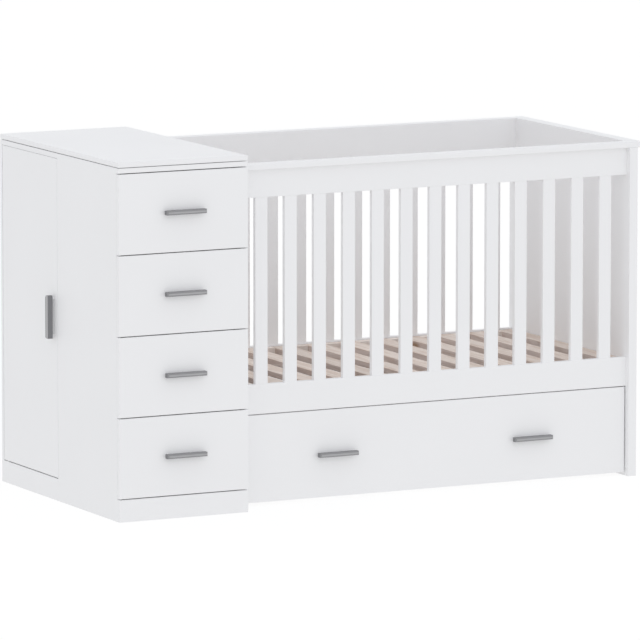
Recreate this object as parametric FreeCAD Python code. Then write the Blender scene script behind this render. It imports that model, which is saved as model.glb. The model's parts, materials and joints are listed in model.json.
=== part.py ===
import FreeCAD, Part
import os

# Convertible crib with a drawer and cupboard cabinet joined to its left end.
# Sizes are millimetres: X runs along the length, Y from front to back, Z up.
# Pieces are laid out from the cabinet's front left foot, and each is moved on
# export so that the origin lies under the middle of the whole outline.

# Board stock, gaps and softened edges
board = 15.0
reveal = 3.0
door_reveal = 2.0
door_top_gap = 1.0
shadow_gap = 2.0
front_clearance = 0.8
edge_radius = 1.0
hole_clearance = 0.1

# Cabinet carcass
cabinet_width = 425.0
cabinet_depth = 850.0
plinth_height = 67.0
drawer_bay_depth = 435.0
spacer_inset = 14.0
spacer_width = 30.0

# Cupboard shelves and their push-in supports
shelf_count = 3
shelf_setback = 20.0
shelf_play = 1.0
support_diameter = 5.0
support_depth = 9.0
support_tongue = 12.0
support_width = 10.0
support_thickness = 4.0
support_inset = 60.0

# Cabinet drawers
drawer_count = 4
drawer_front_height = 240.0
drawer_box_height = 160.0
drawer_rear_gap = 30.0
drawer_box_lift = 30.0
drawer_side = 12.0
drawer_bottom = 3.0
groove_depth = 5.0
groove_lift = 10.0
groove_clearance = 0.1

# Side-mounted steel runners of the cabinet drawers
runner_space = 12.7
runner_rear_inset = 20.2
runner_setback = 4.0
runner_lift = 55.0
runner_wall = 1.2
channel_height = 36.0
channel_depth = 10.5
slider_depth = 8.5
slider_clearance = 0.4

# Cupboard door on two pivot pins
pivot_inset = 20.0
pivot_diameter = 6.0
pivot_clearance = 0.06
pivot_seat = 12.0
bush_diameter = 10.0
bush_length = 16.0
collar_diameter = 12.0
collar_clearance = 0.3
pin_end_gap = 2.0

# Bar handles
handle_length = 131.0
handle_height = 13.0
handle_bar_depth = 21.0
handle_reach = 27.0
handle_bevel = 4.0
handle_back_radius = 1.5
handle_post_diameter = 8.0
handle_post_spacing = 112.0
door_handle_height = 559.0
door_handle_inset = 26.0
bed_handle_offset = 334.0
bed_handle_shift = 4.0
bed_handle_drop = 2.0

# Crib frame
crib_setback = 62.0
crib_height = 1038.0
interior_length = 1323.0
interior_width = 700.0
left_end_thickness = 12.0
right_end_thickness = 28.0
cap_thickness = 18.0
cap_overhang = 20.0
end_cap_overhang = 16.0
cap_radius = 2.0
rail_thickness = 18.0
top_rail_height = 85.0
bottom_rail_height = 90.0
bottom_rail_top = 370.0

# Crib slats and their tenons
slat_count = 13
slat_width = 41.0
slat_thickness = 15.0
slat_pitch = 98.0
slat_radius = 1.0
tenon_width = 29.0
tenon_thickness = 9.0
tenon_length = 15.0
tenon_clearance = 0.1

# Slatted mattress base
base_drop = 5.0
base_slat_count = 12
base_slat_width = 62.0
base_slat_thickness = 18.0
base_slat_radius = 2.0
base_play = 1.0
ledger_thickness = 22.0
ledger_height = 40.0
ledger_end_gap = 40.0

# Roll-out bed drawer
bed_front_lift = 11.0
bed_box_inset = 24.0
bed_rear_inset = 81.0
bed_box_height = 150.0
bed_side = 15.0
bed_bottom = 12.0
guide_clearance = 0.5
guide_height = 40.0
guide_lift = 90.0
guide_setback = 20.0
guide_rear_inset = 20.0

# Castors of the bed drawer
castor_height = 62.0
castor_inset = 90.0
wheel_diameter = 50.0
wheel_width = 16.0
wheel_corner = 2.0
rim_depth = 7.0
web_thickness = 8.0
hub_diameter = 16.0
hub_length = 19.4
hub_clearance = 0.3
axle_diameter = 6.0
axle_clearance = 0.06
axle_head_diameter = 10.0
axle_head_thickness = 2.0
bracket_wall = 2.5
bracket_length = 46.0
bracket_flange = 12.0
bracket_corner = 4.0
cheek_radius = 12.0

# Connector bolts, barrel nuts and the bolts between crib and cabinet
bolt_diameter = 6.0
bolt_hole_clearance = 0.25
bolt_head_diameter = 17.0
bolt_head_thickness = 3.0
bolt_reach = 45.0
socket_size = 4.0
socket_depth = 2.0
nut_diameter = 10.0
nut_length = 13.0
nut_offset = 30.0
joiner_rise = 30.0
joiner_front = 150.0
joiner_rear_inset = 133.0

# Cabinet levels and planes worked out from the driving sizes
drawer_pitch = drawer_front_height + reveal
first_front = plinth_height + reveal
upper_bottom = first_front + drawer_count * drawer_pitch
upper_top = upper_bottom + board
top_bottom = upper_top + shadow_gap
carcass_front = board + front_clearance
inner_left = board
inner_right = cabinet_width - board
partition_front = drawer_bay_depth - board
rear_front = cabinet_depth - board
door_front = drawer_bay_depth + door_reveal
door_rear = rear_front - door_reveal
door_top = upper_bottom - door_top_gap
pivot_x = board / 2
pivot_y = door_rear - pivot_inset

# Drawer box planes shared by the boxes and their runners
box_left = inner_left + runner_space
box_right = inner_right - runner_space
box_rear = partition_front - drawer_rear_gap
runner_front = carcass_front + runner_setback
runner_length = box_rear - runner_rear_inset - runner_front

# Crib planes
crib_left = cabinet_width + left_end_thickness
crib_right = crib_left + interior_length
crib_end = crib_right + right_end_thickness
crib_front = crib_setback
front_face = crib_front + cap_overhang
front_inner = front_face + rail_thickness
back_inner = front_inner + interior_width
back_face = back_inner + rail_thickness
crib_back = back_face + cap_overhang
cap_bottom = crib_height - cap_thickness
top_rail_bottom = cap_bottom - top_rail_height
bottom_rail_bottom = bottom_rail_top - bottom_rail_height
base_top = bottom_rail_top - base_drop
base_bottom = base_top - base_slat_thickness
base_slat_pitch = (interior_length - 2 * base_play - base_slat_width) / (base_slat_count - 1)

# Bed drawer planes
bed_front_top = bottom_rail_bottom - reveal
bed_front_rear = front_face + board
bed_box_left = crib_left + bed_box_inset
bed_box_right = crib_right - bed_box_inset
bed_box_rear = back_face - bed_rear_inset
bed_floor = castor_height + bed_bottom
bed_box_top = bed_floor + bed_box_height

# Whole outline, handles included
overall_length = handle_reach + crib_end + end_cap_overhang
overall_depth = handle_reach + cabinet_depth
to_middle = FreeCAD.Vector(handle_reach - overall_length / 2, handle_reach - overall_depth / 2, 0)

along_x = FreeCAD.Vector(1, 0, 0)
along_y = FreeCAD.Vector(0, 1, 0)
along_z = FreeCAD.Vector(0, 0, 1)


def block(x, y, z):
    """A board between two planes on each axis."""
    corner = FreeCAD.Vector(x[0], y[0], z[0])
    return Part.makeBox(x[1] - x[0], y[1] - y[0], z[1] - z[0], corner)


def rod(diameter, start, axis, length):
    """A round bar from a point along an axis."""
    return Part.makeCylinder(diameter / 2, length, FreeCAD.Vector(*start), axis)


def edges_on(solid, across, level, run=None):
    """The edges of a solid in one plane across an axis, or only those that run along another."""
    found = []
    for edge in solid.Edges:
        ends = [vertex.Point for vertex in edge.Vertexes]
        flat = all(abs(end.dot(across) - level) < 1e-6 for end in ends)
        if flat and (run is None or abs((ends[-1] - ends[0]).dot(run)) > 1e-6):
            found.append(edge)
    return found


def edges_along(solid, run):
    """The straight edges of a solid that run along an axis."""
    found = []
    for edge in solid.Edges:
        span = edge.Vertexes[-1].Point - edge.Vertexes[0].Point
        if abs(span.dot(run)) > span.Length - 1e-6:
            found.append(edge)
    return found


def soft_front(x, y, z):
    """A front whose outer face, at its low Y, has softened edges."""
    panel = block(x, y, z)
    return panel.makeFillet(edge_radius, edges_on(panel, along_y, y[0]))


def soft_panel(x, y, z):
    """A panel with every edge softened."""
    panel = block(x, y, z)
    return panel.makeFillet(edge_radius, panel.Edges)


def spread(count, pitch, middle):
    """The centres of a row of equal steps about its middle."""
    return [middle + (index - (count - 1) / 2) * pitch for index in range(count)]


def front_bottom(index):
    """The lower edge of a drawer front, counted from the lowest."""
    return first_front + index * drawer_pitch


def shelf_levels():
    """The undersides of the cupboard shelves, evenly spaced."""
    step = (upper_bottom - plinth_height) / (shelf_count + 1)
    return [plinth_height + (index + 1) * step - board / 2 for index in range(shelf_count)]


def shelf_span():
    """The shelf's reach from door side to crib side, clear of the joining nuts."""
    return (inner_left + shelf_setback, inner_right - bolt_head_thickness - shelf_play)


def support_places():
    """Each shelf support: its X, its shelf's underside, its wall plane and the way into the room."""
    low, high = shelf_span()
    places = []
    for level in shelf_levels():
        for x in (low + support_inset, high - support_inset):
            places.append((x, level, drawer_bay_depth, 1))
            places.append((x, level, rear_front, -1))
    return places


def joiner_places():
    """Y and Z of the bolts that hold the crib's left end to the cabinet side, where both stand."""
    rear = min(rear_front, crib_back) - joiner_rear_inset
    places = []
    for index in range(0, drawer_count, 2):
        z = front_bottom(index) + drawer_box_lift + drawer_box_height + joiner_rise
        places.append((joiner_front, z))
        places.append((rear, z))
    return places


def rail_bolt_places():
    """Y and Z of the bolt axis at the ends of each crib rail."""
    places = []
    for y in (front_inner - rail_thickness / 2, back_inner + rail_thickness / 2):
        places.append((y, top_rail_bottom + top_rail_height / 2))
        places.append((y, bottom_rail_bottom + bottom_rail_height / 2))
    return places


def slat_centres():
    """X of each upright slat, the same in the front and the back."""
    return spread(slat_count, slat_pitch, (crib_left + crib_right) / 2)


def bolt_hole(y, z, low, high):
    """A bolt's clearance hole along X."""
    return rod(bolt_diameter + 2 * bolt_hole_clearance, (low, y, z), along_x, high - low)


def head_recess(y, z, low):
    """The counterbore that takes a bolt head flush."""
    diameter = bolt_head_diameter + 2 * bolt_hole_clearance
    return rod(diameter, (low, y, z), along_x, bolt_head_thickness)


def support_hole(x, level, wall, way):
    """The hole that takes a shelf support's stub."""
    start = (x, wall, level - support_thickness / 2)
    diameter = support_diameter + 2 * hole_clearance
    return rod(diameter, start, along_y * -way, support_depth + hole_clearance)


def pin_hole(level, way):
    """The hole in the carcass for a door pivot pin, going up or down from a face."""
    diameter = pivot_diameter + 2 * hole_clearance
    return rod(diameter, (pivot_x, pivot_y, level), along_z * way, pivot_seat + hole_clearance)


def carcass():
    """The cabinet's fixed boards."""
    top = soft_panel((0, cabinet_width), (0, cabinet_depth), (top_bottom, top_bottom + board))
    right = block((inner_right, cabinet_width), (carcass_front, cabinet_depth), (0, upper_top))
    right = right.cut([bolt_hole(y, z, inner_right, cabinet_width) for y, z in joiner_places()])
    left = block((0, inner_left), (carcass_front, drawer_bay_depth), (0, upper_top))
    partition = block((inner_left, inner_right), (partition_front, drawer_bay_depth), (0, upper_bottom))
    rear = block((0, inner_right), (rear_front, cabinet_depth), (0, upper_bottom))
    holes = [(place[3], support_hole(*place)) for place in support_places()]
    partition = partition.cut([hole for way, hole in holes if way > 0])
    rear = rear.cut([hole for way, hole in holes if way < 0])
    floor_level = (plinth_height - board, plinth_height)
    front_floor = block((inner_left, inner_right), (carcass_front, partition_front), floor_level)
    rear_floor = block((inner_left, inner_right), (drawer_bay_depth, rear_front), floor_level)
    front_plinth = soft_front((0, cabinet_width), (front_clearance, carcass_front), (0, plinth_height))
    end_plinth = block((0, inner_left), (drawer_bay_depth, rear_front), (0, plinth_height))
    end_plinth = end_plinth.cut(pin_hole(plinth_height, -1))
    return {
        "cabinet_top": [top],
        "top_spacers": top_spacers(),
        "cabinet_upper_panel": [upper_panel()],
        "cabinet_right_side": [right],
        "cabinet_left_side": [left],
        "cabinet_partition": [partition],
        "cabinet_rear_panel": [rear],
        "cabinet_floors": [front_floor, rear_floor],
        "cabinet_plinths": [front_plinth, end_plinth],
    }


def upper_panel():
    """The board under the top, notched round the two sides that run up past it."""
    outline = [
        (0, front_clearance),
        (cabinet_width, front_clearance),
        (cabinet_width, carcass_front),
        (inner_right, carcass_front),
        (inner_right, cabinet_depth),
        (0, cabinet_depth),
        (0, drawer_bay_depth),
        (inner_left, drawer_bay_depth),
        (inner_left, carcass_front),
        (0, carcass_front),
        (0, front_clearance),
    ]
    points = [FreeCAD.Vector(x, y, upper_bottom) for x, y in outline]
    panel = Part.Face(Part.makePolygon(points)).extrude(along_z * board)
    return panel.cut(pin_hole(upper_bottom, 1))


def top_spacers():
    """Strips that carry the top and leave a shadow line all round."""
    level = (upper_top, top_bottom)
    low_x, high_x = spacer_inset, cabinet_width - spacer_inset
    low_y, high_y = spacer_inset, cabinet_depth - spacer_inset
    between = (low_y + spacer_width, high_y - spacer_width)
    return [
        block((low_x, high_x), (low_y, low_y + spacer_width), level),
        block((low_x, high_x), (high_y - spacer_width, high_y), level),
        block((low_x, low_x + spacer_width), between, level),
        block((high_x - spacer_width, high_x), between, level),
    ]


def shelves():
    """Cupboard shelves on four push-in supports each."""
    depth = (drawer_bay_depth + shelf_play, rear_front - shelf_play)
    boards = [block(shelf_span(), depth, (level, level + board)) for level in shelf_levels()]
    supports = []
    for x, level, wall, way in support_places():
        stub = rod(support_diameter, (x, wall, level - support_thickness / 2), along_y * -way, support_depth)
        across = (x - support_width / 2, x + support_width / 2)
        reach = sorted((wall, wall + way * support_tongue))
        tongue = block(across, reach, (level - support_thickness, level))
        supports.append(tongue.fuse(stub))
    return {"cupboard_shelves": boards, "shelf_supports": supports}


def channel(web_x, way, depth, height, middle_z):
    """A steel runner of C section, its web at web_x and its lips pointing one way along X."""
    half = height / 2
    outline = [
        (0, -half),
        (depth, -half),
        (depth, runner_wall - half),
        (runner_wall, runner_wall - half),
        (runner_wall, half - runner_wall),
        (depth, half - runner_wall),
        (depth, half),
        (0, half),
        (0, -half),
    ]
    start = runner_front
    points = [FreeCAD.Vector(web_x + way * x, start, middle_z + z) for x, z in outline]
    return Part.Face(Part.makePolygon(points)).extrude(along_y * runner_length)


def runner_level(index):
    """The middle height of a drawer's runners."""
    return front_bottom(index) + drawer_box_lift + runner_lift


def drawer_channels():
    """The runner halves screwed to the cabinet sides."""
    channels = []
    for index in range(drawer_count):
        level = runner_level(index)
        channels.append(channel(inner_left, 1, channel_depth, channel_height, level))
        channels.append(channel(inner_right, -1, channel_depth, channel_height, level))
    return {"drawer_channels": channels}


def handle():
    """A bevelled bar on two posts: along X, standing out towards low Y from the origin plane."""
    half = handle_length / 2
    bar_back = handle_bar_depth - handle_reach
    bar = block((-half, half), (-handle_reach, bar_back), (-handle_height / 2, handle_height / 2))
    bar = bar.makeChamfer(handle_bevel, edges_on(bar, along_y, -handle_reach))
    bar = bar.makeFillet(handle_back_radius, edges_on(bar, along_y, bar_back))
    pieces = [bar]
    for x in (-handle_post_spacing / 2, handle_post_spacing / 2):
        pieces.append(rod(handle_post_diameter, (x, bar_back, 0), along_y, -bar_back))
    return pieces


def handle_at(x, y, z):
    """A level handle on a front whose face is at y."""
    pieces = handle()
    for piece in pieces:
        piece.translate(FreeCAD.Vector(x, y, z))
    return pieces


def upright_handle_at(y, z):
    """A handle on the cabinet's left face, with its bar upright."""
    turn = FreeCAD.Rotation(FreeCAD.Vector(1, 1, 1), -120)
    place = FreeCAD.Placement(FreeCAD.Vector(0, y, z), turn)
    return [piece.transformGeometry(place.toMatrix()) for piece in handle()]


def cabinet_drawer(index, name):
    """One cabinet drawer: overlay front, three-sided box, sliding bottom, handle and runner halves."""
    low = front_bottom(index)
    box_bottom = low + drawer_box_lift
    box_top = box_bottom + drawer_box_height
    groove = (box_bottom + groove_lift, box_bottom + groove_lift + drawer_bottom)
    slack = (groove[0] - groove_clearance, groove[1] + groove_clearance)
    left_inner = box_left + drawer_side
    right_inner = box_right - drawer_side
    panel_x = (left_inner - groove_depth, right_inner + groove_depth)
    slot_x = (panel_x[0] - groove_clearance, panel_x[1] + groove_clearance)
    slot = block(slot_x, (board - groove_depth - groove_clearance, box_rear), slack)
    front = soft_front((0, cabinet_width), (0, board), (low, low + drawer_front_height)).cut(slot)
    run = (board, box_rear)
    left = block((box_left, left_inner), run, (box_bottom, box_top)).cut(slot)
    right = block((right_inner, box_right), run, (box_bottom, box_top)).cut(slot)
    back = block((left_inner, right_inner), (box_rear - drawer_side, box_rear), (groove[1], box_top))
    bottom = block(panel_x, (board - groove_depth, box_rear), groove)
    level = runner_level(index)
    slider_height = channel_height - 2 * runner_wall - 2 * slider_clearance
    sliders = [
        channel(box_left, -1, slider_depth, slider_height, level),
        channel(box_right, 1, slider_depth, slider_height, level),
    ]
    return {
        name + "_front": [front],
        name + "_box": [left, right, back],
        name + "_bottom": [bottom],
        name + "_handle": handle_at(cabinet_width / 2, 0, low + drawer_front_height / 2),
        name + "_runners": sliders,
    }


def cabinet_drawers():
    """All cabinet drawers, numbered from the top."""
    pieces = {}
    for number in range(1, drawer_count + 1):
        pieces.update(cabinet_drawer(drawer_count - number, "drawer_%d" % number))
    return pieces


def pivot_pin(face, way, gap):
    """A door pin seated in the carcass, with a collar that keeps the door off the face."""
    seat = (pivot_x, pivot_y, face - way * pivot_seat)
    reach = gap + bush_length - pin_end_gap
    pin = rod(pivot_diameter, seat, along_z * way, pivot_seat + reach)
    collar = rod(collar_diameter, (pivot_x, pivot_y, face), along_z * way, gap - collar_clearance)
    return pin.fuse(collar)


def pivot_bush(edge, way):
    """A sleeve in the door's edge that runs on the pin."""
    sleeve = rod(bush_diameter, (pivot_x, pivot_y, edge), along_z * way, bush_length)
    bore = rod(pivot_diameter + 2 * pivot_clearance, (pivot_x, pivot_y, edge), along_z * way, bush_length)
    return sleeve.cut(bore)


def cupboard_door():
    """The inset door, its handle, and the pins and sleeves that it swings on."""
    door = soft_panel((0, board), (door_front, door_rear), (first_front, door_top))
    seat = bush_diameter + 2 * hole_clearance
    for edge, way in ((first_front, 1), (door_top, -1)):
        door = door.cut(rod(seat, (pivot_x, pivot_y, edge), along_z * way, bush_length))
    return {
        "cupboard_door": [door],
        "door_handle": upright_handle_at(door_front + door_handle_inset, door_handle_height),
        "hinge_bushes": [pivot_bush(first_front, 1), pivot_bush(door_top, -1)],
        "hinge_pins": [pivot_pin(plinth_height, 1, reveal), pivot_pin(upper_bottom, -1, door_top_gap)],
    }


def end_panels():
    """The crib's solid ends, bored for the rail bolts and the cabinet joiners."""
    run = (crib_front, crib_back)
    left = block((cabinet_width, crib_left), run, (0, crib_height))
    right = block((crib_right, crib_end), run, (0, cap_bottom))
    right = right.makeFillet(edge_radius, edges_on(right, along_y, crib_front))
    for y, z in rail_bolt_places():
        left = left.cut(bolt_hole(y, z, cabinet_width, crib_left))
        left = left.cut(head_recess(y, z, cabinet_width))
        right = right.cut(bolt_hole(y, z, crib_right, crib_end))
        right = right.cut(head_recess(y, z, crib_end - bolt_head_thickness))
    for y, z in joiner_places():
        left = left.cut(bolt_hole(y, z, cabinet_width, crib_left))
        left = left.cut(head_recess(y, z, crib_left - bolt_head_thickness))
    return {"crib_left_end": [left], "crib_right_end": [right]}


def long_cap(outer, inner):
    """A cap board along X, softened except where it meets the inner face of its rail."""
    cap = block((crib_left, crib_right), sorted((outer, inner)), (cap_bottom, crib_height))
    soft = edges_on(cap, along_y, outer, along_x)
    for edge in edges_on(cap, along_y, inner, along_x):
        if edge.CenterOfMass.z > cap_bottom:
            soft.append(edge)
    return cap.makeFillet(cap_radius, soft)


def caps():
    """The cap boards along the front, the back and the right end."""
    outer = crib_end + end_cap_overhang
    end = block((crib_right, outer), (crib_front, crib_back), (cap_bottom, crib_height))
    soft = edges_on(end, along_x, outer)
    soft += edges_on(end, along_y, crib_front, along_x)
    soft += edges_on(end, along_y, crib_back, along_x)
    return {
        "crib_caps": [
            long_cap(crib_front, front_inner),
            long_cap(crib_back, back_inner),
            end.makeFillet(cap_radius, soft),
        ]
    }


def rail(y, z, slat_edge):
    """A crib rail, mortised along one edge and bored at its ends for bolts and barrel nuts."""
    body = block((crib_left, crib_right), y, z)
    body = body.makeFillet(edge_radius, edges_on(body, along_z, slat_edge, along_x))
    middle_y = (y[0] + y[1]) / 2
    middle_z = (z[0] + z[1]) / 2
    half_width = tenon_width / 2 + tenon_clearance
    half_thickness = tenon_thickness / 2 + tenon_clearance
    inward = 1 if slat_edge == z[0] else -1
    depth = sorted((slat_edge, slat_edge + inward * (tenon_length + tenon_clearance)))
    across = (middle_y - half_thickness, middle_y + half_thickness)
    cuts = [block((x - half_width, x + half_width), across, depth) for x in slat_centres()]
    cuts.append(bolt_hole(middle_y, middle_z, crib_left, crib_left + bolt_reach + reveal))
    cuts.append(bolt_hole(middle_y, middle_z, crib_right - bolt_reach - reveal, crib_right))
    for x in (crib_left + nut_offset, crib_right - nut_offset):
        start = (x, y[1], middle_z)
        cuts.append(rod(nut_diameter + 2 * hole_clearance, start, -along_y, nut_length + hole_clearance))
    return body.cut(cuts)


def slats(middle_y):
    """A row of rounded slats, tenoned into the rails above and below."""
    row = []
    for x in slat_centres():
        across = (x - slat_width / 2, x + slat_width / 2)
        through = (middle_y - slat_thickness / 2, middle_y + slat_thickness / 2)
        body = block(across, through, (bottom_rail_top, top_rail_bottom))
        body = body.makeFillet(slat_radius, edges_along(body, along_z))
        tongue_x = (x - tenon_width / 2, x + tenon_width / 2)
        tongue_y = (middle_y - tenon_thickness / 2, middle_y + tenon_thickness / 2)
        tongue_z = (bottom_rail_top - tenon_length, top_rail_bottom + tenon_length)
        row.append(body.fuse(block(tongue_x, tongue_y, tongue_z)))
    return row


def crib_sides():
    """The slatted front and back of the crib."""
    front = (front_face, front_inner)
    back = (back_inner, back_face)
    top = (top_rail_bottom, cap_bottom)
    bottom = (bottom_rail_bottom, bottom_rail_top)
    return {
        "front_top_rail": [rail(front, top, top_rail_bottom)],
        "front_slats": slats((front_face + front_inner) / 2),
        "front_bottom_rail": [rail(front, bottom, bottom_rail_top)],
        "back_top_rail": [rail(back, top, top_rail_bottom)],
        "back_slats": slats((back_inner + back_face) / 2),
        "back_bottom_rail": [rail(back, bottom, bottom_rail_top)],
    }


def mattress_base():
    """Pine slats from front to back on two ledgers."""
    run = (crib_left + ledger_end_gap, crib_right - ledger_end_gap)
    level = (base_bottom - ledger_height, base_bottom)
    ledgers = [
        block(run, (front_inner, front_inner + ledger_thickness), level),
        block(run, (back_inner - ledger_thickness, back_inner), level),
    ]
    boards = []
    for x in spread(base_slat_count, base_slat_pitch, (crib_left + crib_right) / 2):
        across = (x - base_slat_width / 2, x + base_slat_width / 2)
        slat = block(across, (front_inner + base_play, back_inner - base_play), (base_bottom, base_top))
        boards.append(slat.makeFillet(base_slat_radius, edges_along(slat, along_y)))
    return {"base_ledgers": ledgers, "base_slats": boards}


def bed_drawer():
    """The roll-out drawer under the crib and the battens that guide it."""
    width = (crib_left + reveal, crib_right - reveal)
    front = soft_front(width, (front_face, bed_front_rear), (bed_front_lift, bed_front_top))
    run = (bed_front_rear, bed_box_rear)
    level = (bed_floor, bed_box_top)
    inner = (bed_box_left + bed_side, bed_box_right - bed_side)
    box = [
        block((bed_box_left, inner[0]), run, level),
        block((inner[1], bed_box_right), run, level),
        block(inner, (bed_box_rear - bed_side, bed_box_rear), level),
    ]
    bottom = block((bed_box_left, bed_box_right), run, (castor_height, bed_floor))
    handle_x = (crib_left + crib_right) / 2 - bed_handle_shift
    handle_z = (bed_front_lift + bed_front_top) / 2 - bed_handle_drop
    handles = handle_at(handle_x - bed_handle_offset, front_face, handle_z)
    handles += handle_at(handle_x + bed_handle_offset, front_face, handle_z)
    guide_run = (bed_front_rear + guide_setback, bed_box_rear - guide_rear_inset)
    guide_level = (guide_lift, guide_lift + guide_height)
    guides = [
        block((crib_left, bed_box_left - guide_clearance), guide_run, guide_level),
        block((bed_box_right + guide_clearance, crib_right), guide_run, guide_level),
    ]
    return {
        "bed_drawer_front": [front],
        "bed_drawer_box": box,
        "bed_drawer_bottom": [bottom],
        "bed_drawer_handles": handles,
        "bed_drawer_guides": guides,
    }


def castor_bracket(x, y):
    """A pressed bracket: a plate under the drawer and two round-ended cheeks."""
    axle_z = wheel_diameter / 2
    half_gap = hub_length / 2 + hub_clearance
    half_width = half_gap + bracket_wall + bracket_flange
    plate_level = (castor_height - bracket_wall, castor_height)
    half_length = bracket_length / 2
    plate = block((x - half_width, x + half_width), (y - half_length, y + half_length), plate_level)
    bracket = plate.makeFillet(bracket_corner, edges_along(plate, along_z))
    for start in (x - half_gap - bracket_wall, x + half_gap):
        span = (start, start + bracket_wall)
        cheek = block(span, (y - cheek_radius, y + cheek_radius), (axle_z, plate_level[0]))
        cheek = cheek.fuse(rod(2 * cheek_radius, (start, y, axle_z), along_x, bracket_wall))
        bore = rod(axle_diameter + 2 * hole_clearance, (start, y, axle_z), along_x, bracket_wall)
        bracket = bracket.fuse(cheek.cut(bore))
    return bracket.removeSplitter()


def castor_axle(x, y):
    """A riveted axle with a head outside each cheek."""
    axle_z = wheel_diameter / 2
    half = hub_length / 2 + hub_clearance + bracket_wall
    axle = rod(axle_diameter, (x - half, y, axle_z), along_x, 2 * half)
    for start in (x - half - axle_head_thickness, x + half):
        axle = axle.fuse(rod(axle_head_diameter, (start, y, axle_z), along_x, axle_head_thickness))
    return axle.removeSplitter()


def castor_wheel(x, y):
    """A wheel turned about its axle: hub, thin web and rounded rim."""
    outer = wheel_diameter / 2
    hub = hub_diameter / 2
    rim = outer - rim_depth
    bore = axle_diameter / 2 + axle_clearance
    half_hub = hub_length / 2
    half_web = web_thickness / 2
    half_rim = wheel_width / 2
    side = [
        (half_hub, bore),
        (half_hub, hub),
        (half_web, hub),
        (half_web, rim),
        (half_rim, rim),
        (half_rim, outer - wheel_corner),
        (half_rim - wheel_corner, outer),
    ]
    outline = side + [(-along, radius) for along, radius in reversed(side)]
    outline.append(outline[0])
    points = [FreeCAD.Vector(x + along, y, outer + radius) for along, radius in outline]
    centre = FreeCAD.Vector(x, y, outer)
    return Part.Face(Part.makePolygon(points)).revolve(centre, along_x, 360)


def castors():
    """The four fixed castors of the bed drawer."""
    pieces = {"castor_brackets": [], "castor_axles": []}
    rows = (("front", bed_front_rear + castor_inset), ("rear", bed_box_rear - castor_inset))
    columns = (("left", bed_box_left + castor_inset), ("right", bed_box_right - castor_inset))
    for row, y in rows:
        for column, x in columns:
            pieces["castor_brackets"].append(castor_bracket(x, y))
            pieces["castor_axles"].append(castor_axle(x, y))
            pieces["castor_wheel_%s_%s" % (row, column)] = [castor_wheel(x, y)]
    return pieces


def bolt(start, way, length, y, z):
    """A flat-headed connector bolt along X with a hexagon socket."""
    head = rod(bolt_head_diameter, (start, y, z), along_x * way, bolt_head_thickness)
    body = head.fuse(rod(bolt_diameter, (start, y, z), along_x * way, length))
    corner = FreeCAD.Vector(start, y, z + socket_size / 3**0.5)
    turns = [FreeCAD.Rotation(along_x, 60 * step) for step in range(7)]
    centre = FreeCAD.Vector(start, y, z)
    points = [centre + turn.multVec(corner - centre) for turn in turns]
    socket = Part.Face(Part.makePolygon(points)).extrude(along_x * way * socket_depth)
    return body.cut(socket)


def connectors():
    """Bolts and nuts of the crib corners and of the joint with the cabinet."""
    bolts = []
    nuts = []
    thread = bolt_diameter + 2 * hole_clearance
    for y, z in rail_bolt_places():
        bolts.append(bolt(cabinet_width, 1, left_end_thickness + bolt_reach, y, z))
        bolts.append(bolt(crib_end, -1, right_end_thickness + bolt_reach, y, z))
        for x in (crib_left + nut_offset, crib_right - nut_offset):
            nut = rod(nut_diameter, (x, y + rail_thickness / 2, z), -along_y, nut_length)
            nuts.append(nut.cut(rod(thread, (x - nut_diameter, y, z), along_x, 2 * nut_diameter)))
    nut_start = inner_right - bolt_head_thickness
    for y, z in joiner_places():
        bolts.append(bolt(crib_left, -1, crib_left - nut_start, y, z))
        nut = rod(bolt_head_diameter, (nut_start, y, z), along_x, bolt_head_thickness)
        nuts.append(nut.cut(rod(thread, (nut_start, y, z), along_x, bolt_head_thickness)))
    return {"connector_bolts": bolts, "connector_nuts": nuts}


def export(pieces):
    """Write each named piece as one file, moved to the shared origin."""
    os.makedirs("parts", exist_ok=True)
    for node, shapes in pieces.items():
        solids = [solid for shape in shapes for solid in shape.Solids]
        piece = solids[0] if len(solids) == 1 else Part.makeCompound(solids)
        piece.translate(to_middle)
        piece.exportStep("parts/%s.step" % node)


def crib():
    """Every piece of the crib and its cabinet, by name."""
    groups = (
        carcass, shelves, drawer_channels, cabinet_drawers, cupboard_door, end_panels,
        caps, crib_sides, mattress_base, bed_drawer, castors, connectors,
    )
    pieces = {}
    for group in groups:
        pieces.update(group())
    return pieces


export(crib())
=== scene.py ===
"""White convertible crib with a drawer and cupboard cabinet: finishes, small hardware, light and camera."""

import json
import logging
import math
from dataclasses import dataclass, field
from enum import Enum

import bmesh
import bpy
from mathutils import Matrix, Vector


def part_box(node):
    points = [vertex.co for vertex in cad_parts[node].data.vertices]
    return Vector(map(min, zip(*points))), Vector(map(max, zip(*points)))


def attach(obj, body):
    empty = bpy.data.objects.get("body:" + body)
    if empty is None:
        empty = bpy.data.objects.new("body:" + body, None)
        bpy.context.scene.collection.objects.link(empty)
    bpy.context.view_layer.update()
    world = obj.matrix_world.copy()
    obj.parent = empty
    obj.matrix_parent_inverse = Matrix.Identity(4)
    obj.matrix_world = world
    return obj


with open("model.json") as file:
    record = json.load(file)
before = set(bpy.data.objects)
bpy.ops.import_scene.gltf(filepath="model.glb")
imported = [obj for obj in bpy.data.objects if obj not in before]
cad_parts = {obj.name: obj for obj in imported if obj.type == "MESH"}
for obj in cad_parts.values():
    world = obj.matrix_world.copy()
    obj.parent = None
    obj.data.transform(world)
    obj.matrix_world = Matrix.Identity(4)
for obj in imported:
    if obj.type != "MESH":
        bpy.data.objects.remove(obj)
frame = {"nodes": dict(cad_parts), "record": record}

Triple = tuple[float, float, float]
Range = tuple[float, float]
Stops = list[tuple[float, Triple]]
Material = bpy.types.Material
Piece = bpy.types.Object
Socket = bpy.types.NodeSocket

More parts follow.
